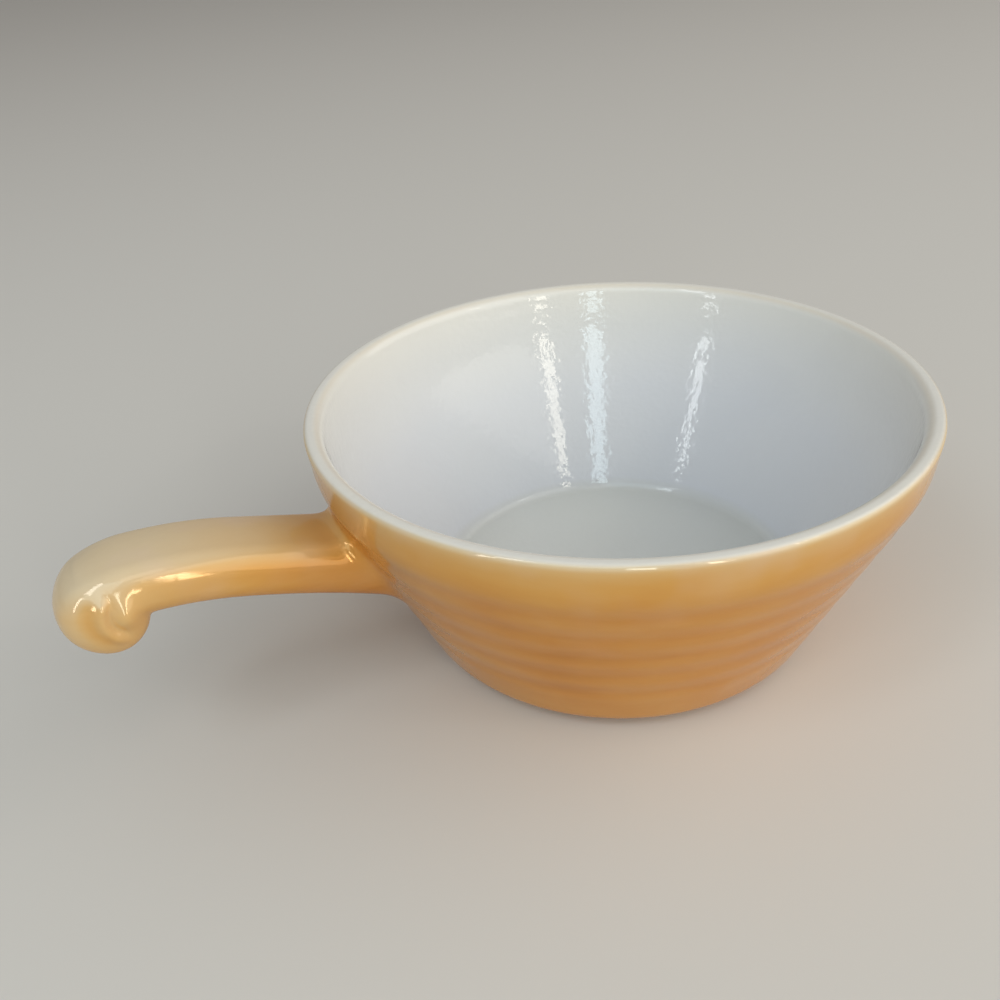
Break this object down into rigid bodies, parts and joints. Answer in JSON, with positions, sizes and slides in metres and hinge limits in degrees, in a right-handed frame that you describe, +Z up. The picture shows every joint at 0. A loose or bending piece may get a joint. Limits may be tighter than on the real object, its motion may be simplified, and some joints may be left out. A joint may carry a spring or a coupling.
{
  "type": "handled ramekin",
  "caption": "Round single-serving baking bowl with a sloping ringed wall, a plain rim band and a stick handle that ends in a scroll.",
  "frame": {"origin": "on the bowl's axis, at the height of the table that the foot stands on", "axes": "+Z up along the bowl's axis, -X along the handle, away from the bowl, and Y across the handle"},
  "size_m": [0.1765, 0.127, 0.054],
  "materials": {
    "bowl_glass": "opaque white opal glass, glossy, with a fired peach lustre outside",
    "handle_glass": "opaque white opal glass, glossy, with a fired peach lustre"
  },
  "bodies": {
    "root": {"bowl": "bowl_glass", "handle": "handle_glass"}
  },
  "joints": []
}
